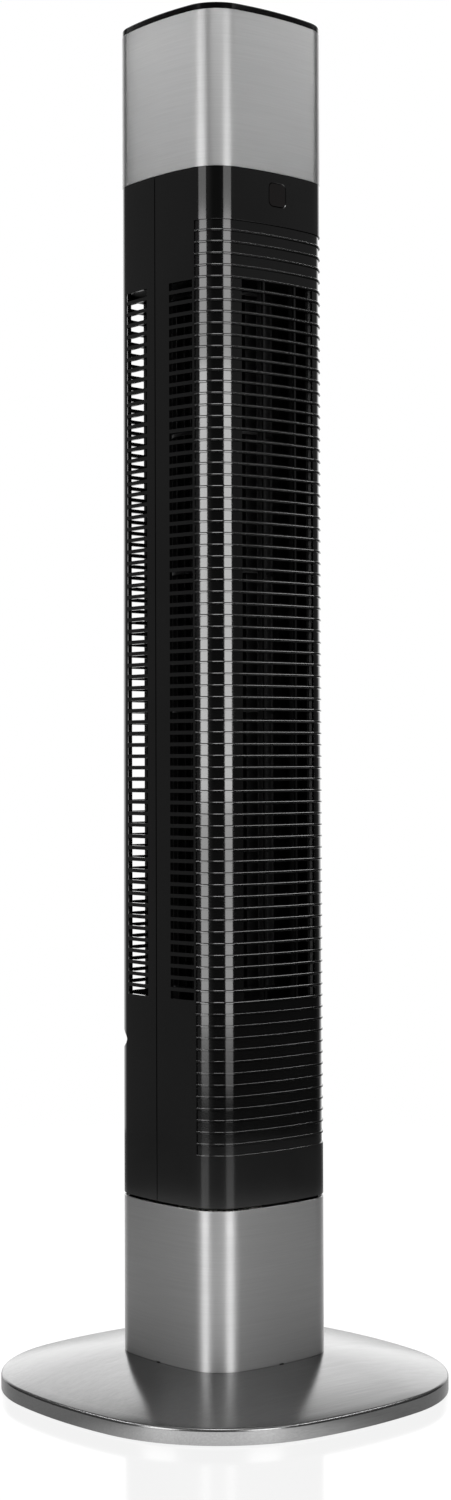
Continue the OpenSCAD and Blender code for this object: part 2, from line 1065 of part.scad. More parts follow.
module head_frame() {
    color("#181818")
        difference() {
            union() {
                translate([0, 0, head_z - 14])
                    linear_extrude(14)
                        column_ring(inner_inset, inner_inset + frame_wall);
                translate([0, 0, head_z])
                    linear_extrude(shelf_z + 14 - head_z)
                        column_ring(sheet_t + fit_gap, inner_inset + frame_wall);
                translate([0, 0, shelf_z])
                    linear_extrude(shelf_t)
                        column_outline(inner_inset);
                on_square(board_pos)
                    translate([0, 0, shelf_z + shelf_t])
                        cylinder(h = board_z - shelf_z - shelf_t, r = board_post_r);
            }
            translate([loom_xy.x, loom_xy.y, shelf_z - 1])
                cylinder(h = 6, r = loom_r + 0.5);
            translate([0, 0, shelf_z - 1])
                cylinder(h = 6, r = 18);
        }
}

module head_sleeve() {
    color("silver")
        translate([0, 0, head_z])
            linear_extrude(cap_z - head_z)
                column_ring(0, sheet_t);
}

module button_places() {
    for (i = [0 : button_count - 1])
        translate([button_x(i), button_y, 0])
            children();
}

function button_x(i) = (i - (button_count - 1)/2)*button_pitch;

module top_cap() {
    color("#101010")
        difference() {
            union() {
                translate([0, 0, shelf_z + 15])
                    linear_extrude(cap_z - shelf_z - 15)
                        column_ring(sheet_t + fit_gap, sheet_t + 2.6);
                translate([0, 0, cap_z])
                    linear_extrude(cap_h - 0.7)
                        column_outline(0.2);
                translate([0, 0, total_h - 0.7])
                    linear_extrude(0.7)
                        column_outline(0.7);
            }
            translate([0, 0, total_h - dish_depth])
                linear_extrude(dish_depth + 1)
                    column_outline(dish_inset);
            button_places()
                translate([0, 0, cap_z - 1])
                    cylinder(h = cap_h + 2, r = button_d/2 + 0.3);
            translate([0, lens_y, total_h - dish_depth - 1])
                linear_extrude(3)
                    rounded_rect(lens_w + 0.2, lens_d + 0.2, 2.5);
            translate([0, lens_y, cap_z - 1])
                linear_extrude(cap_h)
                    rounded_rect(lens_w - 4, lens_d - 4, 1.5);
        }
}

module display_lens() {
    color("#150b10")
        translate([0, lens_y, total_h - dish_depth - 1])
            linear_extrude(1.1)
                rounded_rect(lens_w, lens_d, 2.4);
}

module control_board() {
    color("darkgreen")
        difference() {
            translate([0, 0, board_z])
                linear_extrude(board_t)
                    rounded_rect(88, 88, 6);
            translate([loom_xy.x - 7, loom_xy.y - 7, board_z - 1])
                cube([20, 20, 4]);
            on_square(board_pos)
                translate([0, 0, board_z - 1])
                    cylinder(h = 4, r = 1.6);
        }
}

module tact_switches() {
    color("#222222")
        button_places()
            translate([0, 0, board_z + board_t]) {
                translate([-3, -3, 0])
                    cube([6, 6, 3.6]);
                cylinder(h = 4.2, r = 1.75);
            }
}

module led_display() {
    color("#301010")
        translate([-lens_w/2 + 3, lens_y - lens_d/2 + 3, board_z + board_t])
            cube([lens_w - 6, lens_d - 6, 10.5]);
}

module push_button(i) {
    color("#202020")
        translate([button_x(i), button_y, 0]) {
            translate([0, 0, cap_z - 0.4])
                cylinder(h = button_top_z - cap_z + 0.4, r = button_d/2);
            translate([0, 0, cap_z - 1.6])
                cylinder(h = 1.2, r = button_d/2 + 1.8);
            translate([0, 0, board_z + board_t + 5])
                cylinder(h = cap_z - 1.6 - board_z - board_t - 5, r = 1.8);
        }
}

module button_power() { push_button(0); }
module button_speed() { push_button(1); }
module button_timer() { push_button(2); }
module button_swing() { push_button(3); }

base_cover();
base_weight();
base_pan();
base_feet();
pan_screws();
base_bolts();
cord_grommet();
pedestal();
fixed_gear();
thrust_washer();
collar();
collar_liner();
swivel_neck();
neck_clip();
neck_screws();
lower_plate();
osc_motor();
osc_pinion();
power_board();
board_parts();
motor_capacitor();
wiring_loom();
front_shell();
rear_shell();
shell_screws();
scroll_wall();
air_tongue();
outlet_frame();
motor_bridge();
motor_upper_bell();
motor_lower_bell();
motor_stator();
motor_windings();
motor_bushes();
motor_bolts();
motor_rotor();
motor_shaft();
impeller_coupling();
impeller_stage_1();
impeller_stage_2();
impeller_stage_3();
impeller_stage_4();
impeller_stage_5();
impeller_top_disc();
upper_bridge();
top_bearing();
head_frame();
head_sleeve();
top_cap();
control_board();
tact_switches();
led_display();
display_lens();
ir_window();
ir_receiver();
button_power();
button_speed();
button_timer();
button_swing();
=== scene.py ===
"""Looks of the square-column tower fan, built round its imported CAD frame. Lengths are in metres."""

import json
import math

import bmesh
import bpy
from mathutils import Matrix, Vector

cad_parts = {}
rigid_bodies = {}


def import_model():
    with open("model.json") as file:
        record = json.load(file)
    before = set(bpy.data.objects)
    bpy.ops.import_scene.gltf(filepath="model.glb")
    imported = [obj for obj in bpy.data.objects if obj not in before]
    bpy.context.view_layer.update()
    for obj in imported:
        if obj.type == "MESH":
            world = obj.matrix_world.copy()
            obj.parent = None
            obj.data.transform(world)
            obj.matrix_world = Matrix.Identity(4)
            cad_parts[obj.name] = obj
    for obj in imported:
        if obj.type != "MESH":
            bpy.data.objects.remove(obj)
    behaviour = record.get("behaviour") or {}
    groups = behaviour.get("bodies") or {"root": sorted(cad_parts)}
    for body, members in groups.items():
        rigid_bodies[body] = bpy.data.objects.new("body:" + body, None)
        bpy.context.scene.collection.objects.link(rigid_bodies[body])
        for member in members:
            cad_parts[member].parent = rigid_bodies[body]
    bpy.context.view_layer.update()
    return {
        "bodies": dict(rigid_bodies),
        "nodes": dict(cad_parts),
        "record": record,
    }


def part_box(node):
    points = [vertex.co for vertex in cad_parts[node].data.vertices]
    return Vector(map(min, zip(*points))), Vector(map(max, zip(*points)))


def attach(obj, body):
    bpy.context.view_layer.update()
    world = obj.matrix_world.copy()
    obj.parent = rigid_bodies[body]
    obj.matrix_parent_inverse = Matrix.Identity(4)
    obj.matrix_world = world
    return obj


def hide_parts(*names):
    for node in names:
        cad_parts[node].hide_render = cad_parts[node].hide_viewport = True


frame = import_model()

MM = 0.001
QUARTER = math.pi / 2
# Edges that bend by more than this are shaded as sharp
SHARP_ANGLE = math.radians(30)
# Edges that bend by more than this many degrees get chamfers or rounding
EDGE_BEND = 50
# Vertices closer together than this are one
WELD = 0.002 * MM

# Driving places, read from the frame
COLLAR_LOW, COLLAR_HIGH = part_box("collar")
SHELL_LOW, SHELL_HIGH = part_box("front_shell")
HEAD_LOW, HEAD_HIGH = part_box("head_sleeve")
_, CAP_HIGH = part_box("top_cap")
COVER_LOW, COVER_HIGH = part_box("base_cover")
IR_LOW, IR_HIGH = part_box("ir_window")
LENS_LOW, LENS_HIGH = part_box("display_lens")

# Outlines of the column and the base plate: half width, corner radius, crown radius of the sides
COLUMN = (COLLAR_HIGH.x, 29 * MM, 237 * MM)
BASE = (COVER_HIGH.x, 116 * MM, 350 * MM)

# Walls, and the play round a part that sits in an opening
SHEET = 1.2 * MM
SHELL_WALL = 2.6 * MM
FIT_GAP = 0.1 * MM

# Grille: rows of grooves between ribs, counted upwards from the lowest row of slots
ROW_PITCH = 8.33 * MM
RIB_H = 1.6 * MM
GROOVE_H = ROW_PITCH - RIB_H
GROOVE_DEPTH = 1 * MM
UNDERCUT_DEPTH = 1.9 * MM
GRILLE_Z = SHELL_LOW.z + 145.6 * MM
GRILLE_ROWS = 62
GROOVES_BELOW = 13
GROOVES_ABOVE = 5
# The grooves end this far from the middle of the side faces
GROOVE_LIMIT = 39 * MM
# Narrow band that keeps the shading of a tall smooth face off the ribs next to it
SHOULDER = 0.08 * MM
# Chamfers on the edges of the two shells
FRONT_CHAMFER = 0.12 * MM
REAR_CHAMFER = 0.2 * MM

# Height over which a rib's foot or an undercut starts
RIB_DRAFT = 0.05 * MM
# A rib's edges, as (distance from its foot, depth below its crest) in mm: the upper edge is broad
# from the first slot upwards and narrow below it, and the lower edge is crisp
BROAD_NOSE = ((0.0, 0.34), (0.6, 0.02), (0.68, 0.0), (0.72, 0.0))
NARROW_NOSE = ((0.0, 0.17), (0.3, 0.01), (0.36, 0.0), (0.4, 0.0))
CRISP_NOSE = ((0.0, 0.06), (0.06, 0.0), (0.1, 0.0))

# Slots: heights, and where they start and end along their face, from its middle
FRONT_SLOT_H = 5.9 * MM
SIDE_SLOT_H = 5.6 * MM
OUTLET_X = 2.8 * MM
FRONT_SLOT_HALF = 35 * MM
FRONT_BAR_X = 15.2 * MM
FRONT_BAR_W = 1.8 * MM
SIDE_SLOT_FRONT = (14.4 * MM, 37.2 * MM)
SIDE_SLOT_REAR = (10.9 * MM, 36.5 * MM)
REAR_SLOTS = ((-41 * MM, -24.3 * MM), (-22.5 * MM, -1 * MM), (1 * MM, 22.5 * MM), (24.3 * MM, 41 * MM))

# Seam between the two shells
SEAM_Y = SHELL_HIGH.y
SEAM_HALF = 0.45 * MM

# Steps of the shells' mesh round a corner, along a slot and along the stretch next to the seam
CORNER_STEPS = 14
SLOT_STEPS = 3
SEAM_STEPS = 2

# Opening for the remote-control window
IR_CHAMFER = 0.8 * MM
IR_CORNER = 3.5 * MM

# Screw wells in the rear shell: distance from the middle, height and radius in mm
WELLS = ((50, 156, 4.6), (52, 255, 7), (50, 822, 4.6), (50, 860, 4.6))
WELL_FLOOR_Y = SEAM_Y + 4 * MM
WELL_FLOOR_T = 2 * MM
WELL_WALL = 1.4 * MM
WELL_SCREW_R = 1.9 * MM

# Base plate: a rounded rim, then a shallow dome up to the flat middle with the column's hole
RIM_H = 12.2 * MM
RIM_BEVEL = 0.8 * MM
RIM_ROUND = 2.5 * MM
RIM_RUN = 8 * MM
DOME_FLAT_INSET = 88 * MM
DOME_BEND = math.radians(4.6)
DOME_STEPS = 28
COVER_T = 1.4 * MM
COVER_HOLE_INSET = 110 * MM
GLAND_R = 3.7 * MM

# Steel sleeves: rounding of their edges, and the height of the hem
SLEEVE_INNER_ROUND = 0.2 * MM
SLEEVE_TOP_ROUND = 0.5 * MM
HEM_H = 1.5 * MM

# Top cap: the upright band of its rim starts and ends a little inside its height
CAP_EDGE_INSET = 0.2 * MM
CAP_FOOT_ROUND = 0.15 * MM
CAP_BAND_START = 0.3 * MM
CAP_BAND_END = 0.9 * MM
CAP_ROUND = 0.8 * MM
CAP_RIM_SLOPE = 1.4 * MM
DISH_DEPTH = 1.2 * MM
DISH_INSET = 9 * MM
DISH_MIDDLE_INSET = 24 * MM
LENS_CORNER = 2.5 * MM

# Buttons: a key on a flange, with a stem below
BUTTON_R = 5.7 * MM
BUTTON_HOLE_GAP = 0.3 * MM
BUTTON_ROUND = 0.7 * MM
BUTTON_DISH_R = 4.4 * MM
BUTTON_DISH_DEPTH = 0.35 * MM
FLANGE_R = 7.5 * MM
FLANGE_T = 1.2 * MM
FLANGE_DROP = 0.4 * MM
STEM_R = 1.8 * MM


# ---------- outlines ----------


def outline_shape(shape):
    """The corner's centre on a crowned square, and the angle at which a side turns into a corner."""
    half, corner_r, side_r = shape
    reach = side_r - half
    centre = (-reach + math.sqrt(2 * (side_r - corner_r) ** 2 - reach**2)) / 2
    return centre, math.atan2(centre, centre + reach)


def outline_point(shape, heading, inset=0.0):
    """The point of a crowned square, moved inwards by inset, whose outward direction is heading."""
    half, corner_r, side_r = shape
    centre, turn = outline_shape(shape)
    side = round(heading / QUARTER)
    local = heading - side * QUARTER
    if abs(local) <= turn:
        point = Vector((half - side_r + side_r * math.cos(local), side_r * math.sin(local)))
    else:
        point = Vector((centre, math.copysign(centre, local)))
        point += corner_r * Vector((math.cos(local), math.sin(local)))
    point -= inset * Vector((math.cos(local), math.sin(local)))
    return Matrix.Rotation(side * QUARTER, 2) @ point


def heading_at(shape, along):
    """The heading of the place on a side that lies this far along it from its middle."""
    _, corner_r, side_r = shape
    centre, turn = outline_shape(shape)
    if abs(along) <= side_r * math.sin(turn):
        return math.asin(along / side_r)
    return math.copysign(math.asin((abs(along) - centre) / corner_r), along)


def column_heading(side, along):
    """A heading on the column: side 0 faces +X, 1 +Y, 2 -X and 3 -Y; along runs anticlockwise."""
    return side * QUARTER + heading_at(COLUMN, along)


def outline_headings(shape, side_steps, corner_steps):
    """Headings right round a crowned square, closer together on its corners."""
    turn = outline_shape(shape)[1]
    headings = []
    for side in range(4):
        start = side * QUARTER
        headings += [start - turn + 2 * turn * i / side_steps for i in range(side_steps)]
        bend = QUARTER - 2 * turn
        headings += [start + turn + bend * i / corner_steps for i in range(corner_steps)]
    return headings


# ---------- mesh making ----------


def finish_mesh(name, bm):
    """Welds a mesh, shades it and puts it in the scene as a piece."""
    bmesh.ops.remove_doubles(bm, verts=bm.verts, dist=WELD)
    bmesh.ops.recalc_face_normals(bm, faces=bm.faces)
    mesh = bpy.data.meshes.new(name)
    bm.to_mesh(mesh)
    bm.free()
    mesh.shade_smooth()
    mesh.set_sharp_from_angle(angle=SHARP_ANGLE)
    piece = bpy.data.objects.new(name, mesh)
    bpy.context.scene.collection.objects.link(piece)
    return piece


def filleted(corners, steps=5):
    """A closed profile with its corners rounded; each corner is (inset, height, radius)."""
    points = []
    for i, (across, height, radius) in enumerate(corners):
        corner = Vector((across, height))
        if not radius:
            points.append(corner)
            continue
        back = (Vector(corners[i - 1][:2]) - corner).normalized()
        ahead = (Vector(corners[(i + 1) % len(corners)][:2]) - corner).normalized()
        half = back.angle(ahead) / 2
        centre = corner + (back + ahead).normalized() * radius / math.sin(half)
        reach = radius / math.tan(half)
        start = corner + back * reach - centre
        end = corner + ahead * reach - centre
        for k in range(steps + 1):
            points.append(centre + start.lerp(end, k / steps).normalized() * radius)
    return points


def skin_rings(bm, rings, closed):
    """Faces from ring to ring; open ones get a flat face at both ends, closed ones meet again."""
    pairs = list(zip(rings, rings[1:]))
    if closed:
        pairs.append((rings[-1], rings[0]))
    for lower, upper in pairs:
        for i in range(len(lower)):
            j = (i + 1) % len(lower)
            bm.faces.new((lower[i], lower[j], upper[j], upper[i]))
    if not closed:
        bm.faces.new(rings[0])
        bm.faces.new(rings[-1])


def loft(name, shape, headings, profile, closed=True):
    """Sweeps a profile of (inset, height) points round a crowned square."""
    bm = bmesh.new()
    rings = []
    for inset, height in profile:
        places = [outline_point(shape, heading, inset) for heading in headings]
        rings.append([bm.verts.new((p.x, p.y, height)) for p in places])
    skin_rings(bm, rings, closed)
    return finish_mesh(name, bm)


def lathe(name, centre, profile, segments=64, axis=2, closed=False):
    """Turns a profile of (radius, place along the axis) round the Y axis (1) or the Z axis (2)."""
    bm = bmesh.new()
    rings = []
    for radius, along in profile:
        ring = []
        for i in range(segments):
            a = 2 * math.pi * i / segments
            across, up = radius * math.cos(a), radius * math.sin(a)
            if axis == 2:
                place = (centre.x + across, centre.y + up, along)
            else:
                place = (centre.x + across, along, centre.z + up)
            ring.append(bm.verts.new(place))
        rings.append(ring)
    skin_rings(bm, rings, closed)
    return finish_mesh(name, bm)


def drill(start, end, radius, segments=40):
    """A round cutter from start to end."""
    bm = bmesh.new()
    turn = (end - start).to_track_quat("Z", "Y").to_matrix().to_4x4()
    bmesh.ops.create_cone(
        bm,
        cap_ends=True,
        segments=segments,
        radius1=radius,
        radius2=radius,
        depth=(end - start).length,
        matrix=Matrix.Translation((start + end) / 2) @ turn,
    )
    return finish_mesh("cutter", bm)


def rounded_cutter(low, high, radius, axis, flare=0.0, steps=8):
    """A box rounded along the Y axis (1) or the Z axis (2); its low end can flare out at 45 degrees."""
    across = (0, 2) if axis == 1 else (0, 1)
    bm = bmesh.new()
    rings = []
    for end, growth in ((low[axis], flare), (low[axis] + flare, 0.0), (high[axis], 0.0)):
        ring = []
        for corner, signs in enumerate(((1, 1), (-1, 1), (-1, -1), (1, -1))):
            for k in range(steps + 1):
                a = (corner + k / steps) * QUARTER
                place = [0.0, 0.0, 0.0]
                place[axis] = end
                for side, sign, wave in zip(across, signs, (math.cos(a), math.sin(a))):
                    edge = high[side] - radius if sign > 0 else low[side] + radius
                    place[side] = edge + (radius + growth) * wave
                ring.append(bm.verts.new(place))
        rings.append(ring)
    skin_rings(bm, rings, False)
    return finish_mesh("cutter", bm)


def apply_modifiers(piece):
    """Makes the modifiers' result the piece's own mesh."""
    bpy.context.view_layer.update()
    graph = bpy.context.evaluated_depsgraph_get()
    mesh = bpy.data.meshes.new_from_object(piece.evaluated_get(graph))
    mesh.set_sharp_from_angle(angle=SHARP_ANGLE)
    piece.modifiers.clear()
    piece.data = mesh


def cut(piece, *cutters):
    """Takes the cutters' shapes out of the piece."""
    for cutter in cutters:
        boolean = piece.modifiers.new("cut", "BOOLEAN")
        boolean.operation = "DIFFERENCE"
        boolean.solver = "EXACT"
        boolean.object = cutter
    apply_modifiers(piece)
    for cutter in cutters:
        bpy.data.objects.remove(cutter)


def bevel_edges(piece, name, width, segments, angle):
    """Adds a bevel to the edges that bend by more than the angle, in degrees."""
    bevel = piece.modifiers.new(name, "BEVEL")
    bevel.width = width
    bevel.segments = segments
    bevel.limit_method = "ANGLE"
    bevel.angle_limit = math.radians(angle)
    return bevel


def chamfer_edges(piece, width):
    """Takes a narrow chamfer off the sharp edges for good."""
    bevel_edges(piece, "chamfers", width, 1, EDGE_BEND)
    apply_modifiers(piece)


def round_edges(piece, width, segments=2, angle=EDGE_BEND):
    """Rounds the sharp edges, so that they catch the light."""
    bevel = bevel_edges(piece, "edges", width, segments, angle)
    bevel.harden_normals = True


def join(main, *others):
    """Merges pieces into the first one."""
    bm = bmesh.new()
    for piece in (main, *others):
        bm.from_mesh(piece.data)
    mesh = bpy.data.meshes.new(main.name)
    bm.to_mesh(mesh)
    bm.free()
    main.data = mesh
    for piece in others:
        bpy.data.objects.remove(piece)
    return main


# ---------- shells ----------

# Where each kind of station is cut: the row bands that are open there
OPEN_BANDS = {"side slot": ("slot",), "rear slot": ("slot",), "front slot": ("slot", "slot edge")}
SURFACE, RECESS, OPEN = 0, 1, 2


def cell_level(station, band):
    """SURFACE where the wall is whole, RECESS where it is ribbed, OPEN where a slot goes through."""
    if band in OPEN_BANDS.get(station, ()):
        return OPEN
    if station in ("recess", "front slot") and band != "plain":
        return RECESS
    return SURFACE


def rib_nose(foot_z, way, nose):
    """Lines over one edge of a rib, from its foot to its crest; way is 1 upwards and -1 downwards."""
    return [(foot_z + way * (RIB_DRAFT + rise * MM), depth * MM, "rib") for rise, depth in nose]


def row_lines(ribbed):
    """Lines up the shell from its bottom, each as (height, depth of a recess there, band above it)."""
    edge_front = (GROOVE_H - FRONT_SLOT_H) / 2
    edge_side = (GROOVE_H - SIDE_SLOT_H) / 2
    undercut = (
        (GROOVE_H - edge_front, GROOVE_DEPTH, "groove"),
        (GROOVE_H - edge_front + RIB_DRAFT, UNDERCUT_DEPTH, "groove"),
        (GROOVE_H, UNDERCUT_DEPTH, "rib"),
    )
    slot_row = (
        (0.0, GROOVE_DEPTH, "groove"),
        (edge_front, GROOVE_DEPTH, "slot edge"),
        (edge_side, GROOVE_DEPTH, "slot"),
        (GROOVE_H - edge_side, GROOVE_DEPTH, "slot edge"),
        *undercut,
    )
    closed_row = ((0.0, GROOVE_DEPTH, "groove"), *undercut)
    first, last = (-GROOVES_BELOW, GRILLE_ROWS + GROOVES_ABOVE) if ribbed else (0, GRILLE_ROWS)
    lines = [(SHELL_LOW.z, 0.0, "plain")]
    if ribbed:
        lines.append((GRILLE_Z + first * ROW_PITCH - RIB_H / 2 - SHOULDER, 0.0, "plain"))
    for row in range(first, last):
        start = GRILLE_Z + row * ROW_PITCH
        parts = slot_row if 0 <= row < GRILLE_ROWS else closed_row
        if ribbed:
            lines += reversed(rib_nose(start, -1, BROAD_NOSE if row >= 0 else NARROW_NOSE))
        lines += [(start + up, depth, band) for up, depth, band in parts]
        if ribbed:
            lines += rib_nose(start + GROOVE_H, 1, CRISP_NOSE)
    if ribbed:
        lines.append((lines[-1][0] + SHOULDER, 0.0, "plain"))
    lines.append((SHELL_HIGH.z, 0.0, ""))
    return lines


def stations_between(marks):
    """Headings between marks, each given as (heading, kind of the stretch that ends there, steps)."""
    headings = [marks[0][0]]
    kinds = []
    for heading, kind, steps in marks[1:]:
        start = headings[-1]
        for k in range(steps):
            headings.append(start + (heading - start) * (k + 1) / steps)
            kinds.append(kind)
    return headings, kinds


def shell_mesh(name, marks, ribbed):
    """A moulded shell: one wall with ribs and slots, as cells of a grid over its outline and height."""
    headings, kinds = stations_between(marks)
    lines = row_lines(ribbed)
    columns, rows = len(kinds), len(lines) - 1
    bm = bmesh.new()
    made = {}

    def vert(i, j, level):
        key = (i, j, level)
        if key not in made:
            height, recess, _ = lines[j]
            place = outline_point(COLUMN, headings[i], (0.0, recess, SHELL_WALL)[level])
            made[key] = bm.verts.new((place.x, place.y, height))
        return made[key]

    def level_at(i, j):
        if 0 <= i < columns and 0 <= j < rows:
            return cell_level(kinds[i], lines[j][2])
        return OPEN

    def step(a, b, level):
        """The face from one level to the next, along the grid line from a to b."""
        bm.faces.new((vert(*a, level), vert(*b, level), vert(*b, level + 1), vert(*a, level + 1)))

    for i in range(columns + 1):
        for j in range(rows + 1):
            here = level_at(i, j)
            if here != OPEN:
                corners = ((i, j), (i + 1, j), (i + 1, j + 1), (i, j + 1))
                bm.faces.new([vert(*c, here) for c in corners])
                bm.faces.new([vert(*c, OPEN) for c in reversed(corners)])
            for other, end in (((i - 1, j), (i, j + 1)), ((i, j - 1), (i + 1, j))):
                if end[0] > columns or end[1] > rows:
                    continue
                there = level_at(*other)
                for level in range(min(here, there), max(here, there)):
                    step((i, j), end, level)
    return finish_mesh(name, bm)


def front_marks():
    """Stations round the front shell, from the seam on the left to the seam on the right."""
    slot_start, slot_end = SIDE_SLOT_FRONT
    edge_y = SEAM_Y - SEAM_HALF
    marks = [
        (column_heading(2, -edge_y), "", 0),
        (column_heading(2, slot_start), "plain", SEAM_STEPS),
        (column_heading(2, slot_end), "side slot", SLOT_STEPS),
        (column_heading(2, GROOVE_LIMIT), "plain", 1),
        (column_heading(3, OUTLET_X - FRONT_SLOT_HALF), "recess", CORNER_STEPS),
    ]
    for bar_x in (OUTLET_X - FRONT_BAR_X, OUTLET_X + FRONT_BAR_X):
        marks.append((column_heading(3, bar_x - FRONT_BAR_W / 2), "front slot", SLOT_STEPS))
        marks.append((column_heading(3, bar_x + FRONT_BAR_W / 2), "recess", 1))
    marks += [
        (column_heading(3, OUTLET_X + FRONT_SLOT_HALF), "front slot", SLOT_STEPS),
        (column_heading(4, -GROOVE_LIMIT), "recess", CORNER_STEPS),
        (column_heading(4, -slot_end), "plain", 1),
        (column_heading(4, -slot_start), "side slot", SLOT_STEPS),
        (column_heading(4, edge_y), "plain", SEAM_STEPS),
    ]
    return marks


def rear_marks():
    """Stations round the rear shell, from the seam on the right to the seam on the left."""
    slot_start, slot_end = SIDE_SLOT_REAR
    edge_y = SEAM_Y + SEAM_HALF
    marks = [
        (column_heading(0, edge_y), "", 0),
        (column_heading(0, slot_start), "plain", SEAM_STEPS),
        (column_heading(0, slot_end), "side slot", SLOT_STEPS),
        (column_heading(1, REAR_SLOTS[0][0]), "plain", CORNER_STEPS),
    ]
    for k, (start, end) in enumerate(REAR_SLOTS):
        if k:
            marks.append((column_heading(1, start), "plain", 1))
        marks.append((column_heading(1, end), "rear slot", SLOT_STEPS))
    marks += [
        (column_heading(2, -slot_end), "plain", CORNER_STEPS),
        (column_heading(2, -slot_start), "side slot", SLOT_STEPS),
        (column_heading(2, -edge_y), "plain", SEAM_STEPS),
    ]
    return marks


def front_shell():
    """The ribbed front half, with a chamfered opening for the remote-control window."""
    piece = shell_mesh("front_shell_skin", front_marks(), True)
    chamfer_edges(piece, FRONT_CHAMFER)
    gap = Vector((FIT_GAP, FIT_GAP, FIT_GAP))
    low, high = IR_LOW - gap, IR_HIGH + gap
    reach = 5 * MM
    face_y = outline_point(COLUMN, column_heading(3, (low.x + high.x) / 2)).y
    low.y = face_y + IR_CHAMFER - reach
    high.y = face_y + 2 * reach
    cut(piece, rounded_cutter(low, high, IR_CORNER, axis=1, flare=reach))
    return piece


def side_reach(y):
    """How far the inside of the column's wall reaches from the middle, at this y."""
    half, corner_r, side_r = (size - SHELL_WALL for size in COLUMN)
    centre = outline_shape(COLUMN)[0]
    if y <= centre:
        return half - side_r + math.sqrt(side_r**2 - y**2)
    rise = y - centre
    return centre + math.sqrt(corner_r**2 - rise**2) if rise < corner_r else 0.0


def tube_end(reach):
    """Where a tube that reaches this far sideways meets the inside of the rear corner.

    A tube too wide for that opens through the side of the shell, and is cut off at the middle.
    """
    rearmost, step, count = 60 * MM, 0.25 * MM, 200
    places = (rearmost - step * k for k in range(count))
    return next((y for y in places if side_reach(y) > reach), 0.0)


def well_liner(place, radius):
    """The tube of a screw well, open to the back, with a ledge for the screw's head."""
    outer = radius + WELL_WALL
    rear_y = tube_end(abs(place.x) + outer)
    ledge_y = WELL_FLOOR_Y - WELL_FLOOR_T
    profile = (
        (outer, rear_y),
        (outer, ledge_y),
        (WELL_SCREW_R, ledge_y),
        (WELL_SCREW_R, WELL_FLOOR_Y),
        (radius, WELL_FLOOR_Y),
        (radius, rear_y),
    )
    return lathe("well_liner", place, profile, segments=40, axis=1, closed=True)


def rear_shell():
    """The smooth rear half, with its slots and the wells of its screws."""
    piece = shell_mesh("rear_shell_skin", rear_marks(), False)
    chamfer_edges(piece, REAR_CHAMFER)
    front_y, back_y = 20 * MM, 80 * MM
    cutters = []
    liners = []
    for side in (-1, 1):
        for across, height, radius in WELLS:
            place = Vector((side * across * MM, 0, height * MM))
            start = Vector((place.x, front_y, place.z))
            end = Vector((place.x, back_y, place.z))
            cutters.append(drill(start, end, radius * MM))
            liners.append(well_liner(place, radius * MM))
    cut(piece, *cutters)
    return join(piece, *liners)


# ---------- steel ----------

COLUMN_HEADINGS = outline_headings(COLUMN, side_steps=10, corner_steps=20)


def sleeve(name, low_z, high_z, foot_round):
    """A sheet-steel sleeve round the column, with its edges rounded and a line above its hem."""
    hem_z = low_z + HEM_H
    profile = filleted(
        (
            (0, low_z, foot_round),
            (0, hem_z, 0),
            (0, high_z, SLEEVE_TOP_ROUND),
            (SHEET, high_z, SLEEVE_INNER_ROUND),
            (SHEET, hem_z, 0),
            (SHEET, low_z, SLEEVE_INNER_ROUND),
        )
    )
    return loft(name, COLUMN, COLUMN_HEADINGS, profile)


def head_sleeve():
    """The steel sleeve below the cap."""
    return sleeve("head_sleeve_skin", HEAD_LOW.z, HEAD_HIGH.z, foot_round=0.3 * MM)


def collar():
    """The fixed sleeve, with a small locating nick in the bottom edge at the middle of each face."""
    piece = sleeve("collar_skin", COLLAR_LOW.z, COLLAR_HIGH.z, foot_round=0.2 * MM)
    along, across, rise, corner = 2 * MM, 4 * MM, 0.7 * MM, 0.3 * MM
    cutters = []
    for side in range(4):
        middle = outline_point(COLUMN, side * QUARTER)
        size = Vector((along, across, rise) if side % 2 else (across, along, rise))
        centre = Vector((middle.x, middle.y, COLLAR_LOW.z))
        cutters.append(rounded_cutter(centre - size, centre + size, corner, axis=2, steps=2))
    cut(piece, *cutters)
    return piece


def dome_height(inset):
    """Height of the domed plate at an inset from its rim: a shallow circular arc."""
    run = DOME_FLAT_INSET - RIM_BEVEL
    rise = COVER_HIGH.z - RIM_H
    arc_r = math.hypot(run, rise) / (2 * math.sin(DOME_BEND))
    lean = math.atan2(rise, run)
    along = arc_r * math.sin(lean + DOME_BEND) - (inset - RIM_BEVEL)
    return RIM_H + math.sqrt(arc_r**2 - along**2) - arc_r * math.cos(lean + DOME_BEND)


def base_cover():
    """The domed base plate with its rounded rim, the column's hole and the cord gland's hole."""
    low_z = COVER_LOW.z
    rim_corners = (
        (0, low_z, 0.3 * MM),
        (0, RIM_H, RIM_ROUND),
        (RIM_RUN, dome_height(RIM_RUN), 0),
        (RIM_RUN, low_z, 0),
    )
    run = DOME_FLAT_INSET - RIM_BEVEL
    dome = [RIM_BEVEL + run * k / DOME_STEPS for k in range(1, DOME_STEPS + 1)]
    dome = [inset for inset in dome if inset > RIM_RUN]
    profile = filleted(rim_corners)[:-2]
    profile += [(inset, dome_height(inset)) for inset in dome]
    profile.append((COVER_HOLE_INSET, COVER_HIGH.z))
    profile.append((COVER_HOLE_INSET, COVER_HIGH.z - COVER_T))
    profile += [(inset, dome_height(inset) - COVER_T) for inset in reversed(dome[1:])]
    profile.append((COVER_T, RIM_H - COVER_T))
    profile.append((COVER_T, low_z))
    headings = outline_headings(BASE, side_steps=14, corner_steps=30)
    piece = loft("base_cover_skin", BASE, headings, profile)
    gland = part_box("cord_grommet")
    middle = (gland[0] + gland[1]) / 2
    reach = 6 * MM
    start = Vector((middle.x, BASE[0] - reach, middle.z))
    end = Vector((middle.x, BASE[0] + reach, middle.z))
    cut(piece, drill(start, end, GLAND_R))
    return piece


